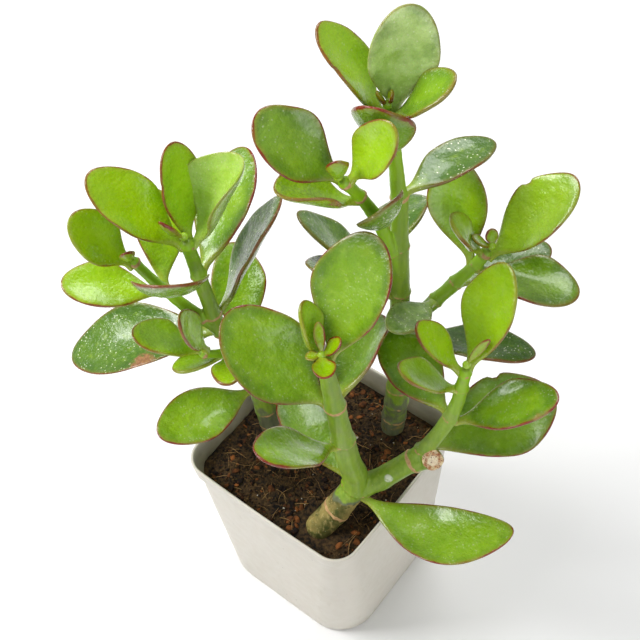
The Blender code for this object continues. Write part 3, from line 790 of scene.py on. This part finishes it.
def make_pot():
    """The pot: tapered walls, a collar under a rounded lip, and a base with lifted corners."""
    rim, corner = POT_TOP_HALF, TOP_CORNER
    rings, inside = [], []

    def put(half, radius, bow, height, lift=0.0, dark=0.0):
        """The next ring of the pot's profile, from under the base, up the outside and down inside; dark is
        how much painted shade the ring gets.
        """
        rings.append(square_ring(half, max(radius, 1.0), bow, height, lift))
        inside.append(dark)

    put(BASE_FLAT - 2.0, FLAT_CORNER - 2.0, 0, 1.6)
    put(BASE_FLAT - 1.0, FLAT_CORNER - 1.0, 0, 0.4)
    put(BASE_FLAT, FLAT_CORNER, 0, 0.0)
    put(BASE_HALF - 2.0, BASE_CORNER - 2.0, 0, 0.0, CORNER_LIFT)
    put(BASE_HALF - 0.9, BASE_CORNER - 0.9, 0, 0.25, CORNER_LIFT)
    put(BASE_HALF - 0.25, BASE_CORNER - 0.3, 0, 0.9, CORNER_LIFT)
    for step in range(13):
        height = 1.8 + (COLLAR - 3.2) * step / 12
        bow = WALL_BOW * math.sin(math.pi / 2 * step / 12)
        put(wall_half(height), wall_corner(height), bow, height, CORNER_LIFT * max(0.0, 1 - step / 2))
    put(wall_half(COLLAR) + 0.15, wall_corner(COLLAR), 0.85, COLLAR - 0.9)
    put(wall_half(COLLAR) + 0.6, corner, 0.9, COLLAR - 0.45)
    put(rim - 0.75, corner, RIM_BOW, COLLAR - 0.1)
    put(rim - 0.45, corner, RIM_BOW, COLLAR + 0.5)
    put(rim - 0.3, corner, RIM_BOW, COLLAR + 3.0)
    put(rim - 0.1, corner, RIM_BOW, POT_HEIGHT - 1.6)
    for step in range(7):
        angle = math.pi * step / 6
        turn_in = LIP - LIP * math.cos(angle)
        put(rim - turn_in, corner - turn_in, RIM_BOW, POT_HEIGHT - LIP + LIP * math.sin(angle),
            dark=0.0 if step < 4 else 0.15)
    put(rim - WALL - 0.2, corner - WALL, RIM_BOW, POT_HEIGHT - 2.6, dark=0.45)
    put(rim - WALL - 0.5, corner - WALL, RIM_BOW, COLLAR + 1.0, dark=0.75)
    put(rim - WALL - COLLAR_STEP * 0.6, corner - WALL, 0.9, COLLAR - 1.0, dark=0.9)
    for height in (COLLAR - 3.0, SOIL_TOP - 4.0, COLLAR * 0.5, FLOOR + 3.0):
        bow = WALL_BOW * height / COLLAR
        put(wall_half(height, WALL), wall_corner(height, WALL), bow, height, dark=1.0)
    put(BASE_FLAT, FLAT_CORNER, 0, FLOOR + 0.4, dark=1.0)
    put(BASE_FLAT - 1.0, FLAT_CORNER - 1.0, 0, FLOOR, dark=1.0)
    around = len(rings[0])
    points = np.array([point for ring in rings for point in ring])
    faces = grid_faces(len(rings), around)
    faces.append(tuple(reversed(range(around))))
    faces.append(tuple(range(len(points) - around, len(points))))
    wobble = smooth_noise(points, 38.0, 4.0) * 0.28
    flat = np.linalg.norm(points[:, :2], axis=1)
    sideways = np.concatenate([points[:, :2] / flat[:, None], np.zeros((len(points), 1))], 1)
    free = np.clip(points[:, 2] / 20.0, 0, 1) * np.clip((POT_HEIGHT - points[:, 2]) / 20.0, 0.3, 1)
    points = points + sideways * (wobble * free)[:, None]
    marks = {"inside": np.repeat(inside, around), "height": points[:, 2]}
    add_piece("pot_shell", points, faces, POT, ("pot",), marks)


def ground(x, y):
    """Height of the loose soil at a place, in millimetres."""
    edge = wall_half(SOIL_TOP, WALL)
    out = max(abs(x), abs(y)) / edge
    spot = Vector((x, y, 0))
    height = SOIL_TOP - 0.7 - 2.6 * out ** 4
    (broad, most), (middling, more), (small, some), (fine, least) = SOIL_RELIEF
    height += most * noise.noise(spot / broad) + more * noise.noise(spot / middling + Vector((9, 0, 0)))
    height += some * abs(noise.noise(spot / small)) + least * noise.noise(spot / fine)
    return height


def make_soil(stems):
    """The potting mix: a lumpy surface, bark chips, crumbs, root fibres and pale grit."""
    edge = wall_half(SOIL_TOP, WALL) + 0.5
    corner = wall_corner(SOIL_TOP, WALL) + 1.0
    rows = []
    for ring in range(1, SOIL_RINGS + 1):
        share = ring / SOIL_RINGS
        half = edge * share
        row = square_ring(half, half - (edge - corner) * share, WALL_BOW * share, 0.0)
        rows.append([(x, y, ground(x, y)) for x, y, _ in row])
    rows.append([(x * 0.97, y * 0.97, SOIL_TOP - SOIL_DEPTH) for x, y, _ in rows[-1]])
    around = len(rows[0])
    points = np.array([point for row in rows for point in row] + [(0, 0, ground(0, 0)),
                                                                  (0, 0, SOIL_TOP - SOIL_DEPTH)])
    faces = [tuple(reversed(face)) for face in grid_faces(len(rows), around)]
    top, under = len(points) - 2, len(points) - 1
    last = (len(rows) - 1) * around
    for i in range(around):
        j = (i + 1) % around
        faces.append((top, i, j))
        faces.append((under, last + j, last + i))
    clouds = smooth_noise(points, 12.0, 8.0) + smooth_noise(points, 2.6, 6.0)
    tone = np.clip(0.3 + 0.3 * clouds, 0, 1)
    add_piece("soil_bed", points, faces, SOIL, ("soil",), {"tone": tone})

    def place(margin=2.0):
        """A random free place on the soil."""
        while True:
            reach = edge - margin - 1.0
            x, y = DICE.uniform(-reach, reach), DICE.uniform(-reach, reach)
            past = math.hypot(max(0, abs(x) - reach + corner), max(0, abs(y) - reach + corner))
            if past < corner and all(math.hypot(x - a, y - b) > r for a, b, r in stems):
                return x, y

    def scatter(name, finish, count, sizes, flat, subdivisions, tones, sink, skew):
        """Loose bits of a range of sizes, flatness and tones; a higher skew makes more dark ones."""
        ball = bmesh.new()
        bmesh.ops.create_icosphere(ball, subdivisions=subdivisions, radius=1.0)
        shape = np.array([vert.co for vert in ball.verts])
        ball_faces = [tuple(vert.index for vert in face.verts) for face in ball.faces]
        ball.free()
        bits, bit_faces, bit_tones = [], [], []
        for n in range(count):
            x, y = place()
            size = sizes[0] + (sizes[1] - sizes[0]) * DICE.random() ** 1.8
            stretch = np.array((size, size * DICE.uniform(0.45, 0.9), size * DICE.uniform(*flat)))
            turn = (Matrix.Rotation(DICE.uniform(0, 6.3), 3, "Z")
                    @ Matrix.Rotation(DICE.gauss(0, 0.45), 3, "X")
                    @ Matrix.Rotation(DICE.gauss(0, 0.35), 3, "Y"))
            rough = 1 + 0.5 * smooth_noise(shape * 10, 9.0, n * 0.37)[:, None]
            bit = (shape * rough * stretch) @ np.array(turn).T
            lift = ground(x, y) + size * sink
            bits.append(bit + np.array((x, y, lift)))
            bit_faces += [tuple(i + n * len(shape) for i in face) for face in ball_faces]
            bit_tones.append(np.full(len(shape), tones[0] + (tones[1] - tones[0]) * DICE.random() ** skew))
        add_piece(name, np.concatenate(bits), bit_faces, finish, (),
                  {"tone": np.concatenate(bit_tones)})

    scatter("soil_chips", CHIP, CHIPS, (0.7, 2.8), (0.18, 0.4), 2, (0.0, 1.0), 0.12, 2.4)
    scatter("soil_crumbs", SOIL, CRUMBS, (0.4, 1.2), (0.5, 0.9), 1, (0.1, 0.9), 0.2, 1.0)
    scatter("soil_specks", SPECK, SPECKS, (0.3, 0.7), (0.5, 0.9), 2, (0.3, 1.0), 0.4, 1.0)
    strands, strand_faces, strand_tones = [], [], []
    count = 0
    for _ in range(FIBRES):
        x, y = place(4.0)
        heading, bend = DICE.uniform(0, 6.3), DICE.gauss(0, 0.05)
        thick = DICE.uniform(0.07, 0.2)
        arch = DICE.uniform(0.1, 1.6)
        steps = DICE.randint(6, 16)
        line = []
        for k in range(steps):
            if max(abs(x), abs(y)) < edge - 2.0:
                lift = 0.25 + arch * math.sin(math.pi * k / (steps - 1))
                line.append(np.array((x, y, ground(x, y) * 0.5 + (SOIL_TOP - 0.7) * 0.5 + lift)))
            x, y = x + FIBRE_STEP * math.cos(heading), y + FIBRE_STEP * math.sin(heading)
            heading += bend + DICE.gauss(0, 0.08)
        if len(line) < 4:
            continue
        tone = DICE.random() ** 2.2
        for k, spot in enumerate(line):
            ahead = unit(line[min(k + 1, len(line) - 1)] - line[max(k - 1, 0)])
            sideways = unit(np.cross(ahead, (0, 0, 1)))
            over = np.cross(sideways, ahead)
            radius = thick * (0.35 + 0.65 * math.sin(math.pi * (k + 0.6) / (len(line) + 0.2)))
            for corner_step in range(FIBRE_SIDES):
                angle = 2 * math.pi * corner_step / FIBRE_SIDES
                strands.append(spot + radius * (sideways * math.cos(angle) + over * math.sin(angle)))
                strand_tones.append(tone)
        strand_faces += grid_faces(len(line), FIBRE_SIDES, count)
        strand_faces.append(tuple(reversed(range(count, count + FIBRE_SIDES))))
        count += len(line) * FIBRE_SIDES
        strand_faces.append(tuple(range(count - FIBRE_SIDES, count)))
    add_piece("soil_fibres", strands, strand_faces, FIBRE, (), {"tone": strand_tones})


# ---------------------------------------------------------------- the plant

make_pot()
stems = []
for number, plant in enumerate(("left", "back", "front")):
    tree = stem_tree(f"{plant}_stem")
    names = sorted(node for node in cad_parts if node.startswith(plant + "_"))
    plans = {name: make_leaf(name, tree, number * 20 + i)
             for i, name in enumerate(names) if "leaf" in name}
    for i, name in enumerate(names):
        if name.endswith("_tip"):
            make_tip(name, tree, number * 20 + i)
    make_stem(plant, [plan["foot"] for plan in plans.values()], SOIL_TOP)
    low = node_points(f"{plant}_stem")
    near_soil = low[np.abs(low[:, 2] - SOIL_TOP) < 8.0]
    centre = near_soil.mean(0)
    stems.append((centre[0], centre[1], np.linalg.norm(near_soil[:, :2] - centre[:2], axis=1).max() + 0.5))
make_soil(stems)


# ---------------------------------------------------------------- stage

def make_stage():
    """A plain pale floor under an even sky."""
    mesh = bpy.data.meshes.new("floor")
    corners = [(x * FLOOR_REACH, y * FLOOR_REACH, 0) for x, y in ((-1, -1), (1, -1), (1, 1), (-1, 1))]
    mesh.from_pydata(corners, [], [(0, 1, 2, 3)])
    floor = bpy.data.objects.new("floor", mesh)
    bpy.context.scene.collection.objects.link(floor)
    paper = bpy.data.materials.new("paper")
    paper.use_nodes = True
    shader = paper.node_tree.nodes["Principled BSDF"]
    shader.inputs["Base Color"].default_value = (FLOOR_TONE, FLOOR_TONE, FLOOR_TONE, 1)
    shader.inputs["Roughness"].default_value = 0.9
    shader.inputs["Specular IOR Level"].default_value = 0.0
    mesh.materials.append(paper)
    world = bpy.data.worlds.new("studio")
    world.use_nodes = True
    world.node_tree.nodes["Background"].inputs["Color"].default_value = (1, 1, 1, 1)
    world.node_tree.nodes["Background"].inputs["Strength"].default_value = SKY
    bpy.context.scene.world = world
    bpy.context.scene.view_settings.view_transform = "Standard"


def add_light(name, heading, rise, distance, size, power):
    """A square soft light that shines on the plant from a heading and a rise, in degrees."""
    light = bpy.data.lights.new(name, "AREA")
    light.size = size
    light.energy = power
    h, r = math.radians(heading), math.radians(rise)
    back = Vector((math.cos(h) * math.cos(r), math.sin(h) * math.cos(r), math.sin(r)))
    holder = bpy.data.objects.new(name, light)
    holder.location = Vector(LIT_POINT) + back * distance
    holder.rotation_euler = back.to_track_quat("Z", "Y").to_euler()
    bpy.context.scene.collection.objects.link(holder)


def add_camera():
    """The camera, turned by its heading and rise and then rolled."""
    a, e = math.radians(CAMERA_HEADING), math.radians(CAMERA_RISE)
    back = Vector((math.sin(a) * math.cos(e), -math.cos(a) * math.cos(e), math.sin(e)))
    right = Vector((math.cos(a), math.sin(a), 0))
    up = back.cross(right)
    turn = Matrix.Rotation(math.radians(CAMERA_ROLL), 4, back)
    axes = Matrix((right, up, back)).transposed().to_4x4()
    camera = bpy.data.cameras.new("camera")
    camera.lens = LENS
    camera.sensor_width = SENSOR
    holder = bpy.data.objects.new("camera", camera)
    holder.matrix_world = Matrix.Translation(Vector(CAMERA_PLACE) * MM) @ turn @ axes
    bpy.context.scene.collection.objects.link(holder)
    bpy.context.scene.camera = holder


make_stage()
for name, settings in LIGHTS.items():
    add_light(name, *settings)
add_camera()

bpy.context.view_layer.update()
